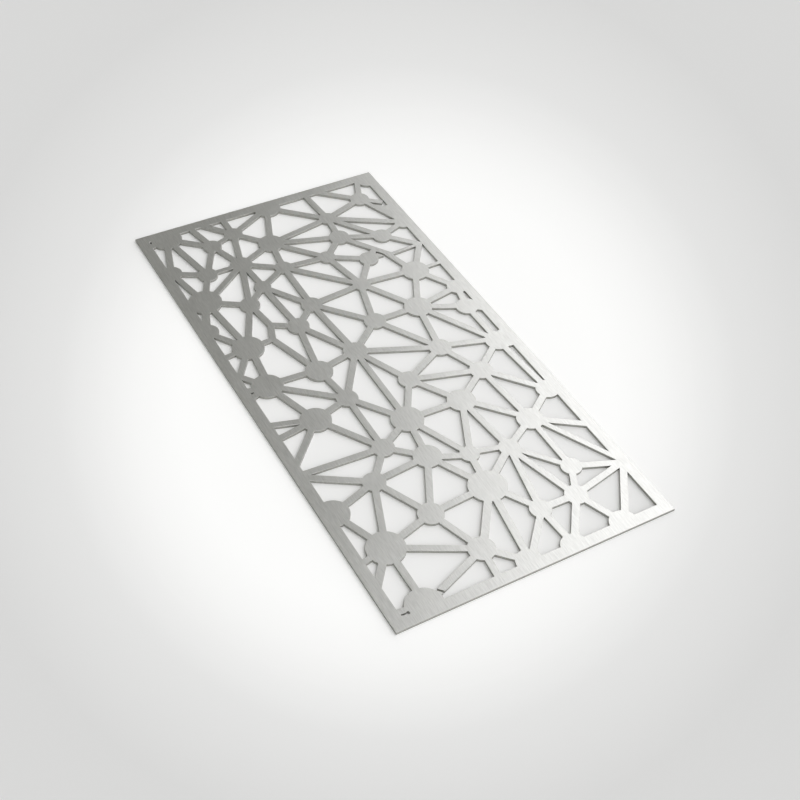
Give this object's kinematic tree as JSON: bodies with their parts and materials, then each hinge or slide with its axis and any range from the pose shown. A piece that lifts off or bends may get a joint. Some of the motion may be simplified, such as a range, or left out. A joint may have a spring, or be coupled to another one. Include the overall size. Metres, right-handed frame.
{
  "type": "laser cut metal screen",
  "caption": "Flat rectangular metal screen with a plain border around an irregular net of round hubs and straight bars.",
  "frame": {"origin": "centre of the back face, under the middle of the sheet", "axes": "+X along the short side, +Y along the long side and the grain, +Z out of the front face"},
  "size_m": [0.3, 0.6, 0.003],
  "materials": {
    "brushed_sheet": "brushed along the long side on the faces, plain laser cut on the edges"
  },
  "bodies": {
    "root": {"panel": "brushed_sheet"}
  },
  "joints": []
}
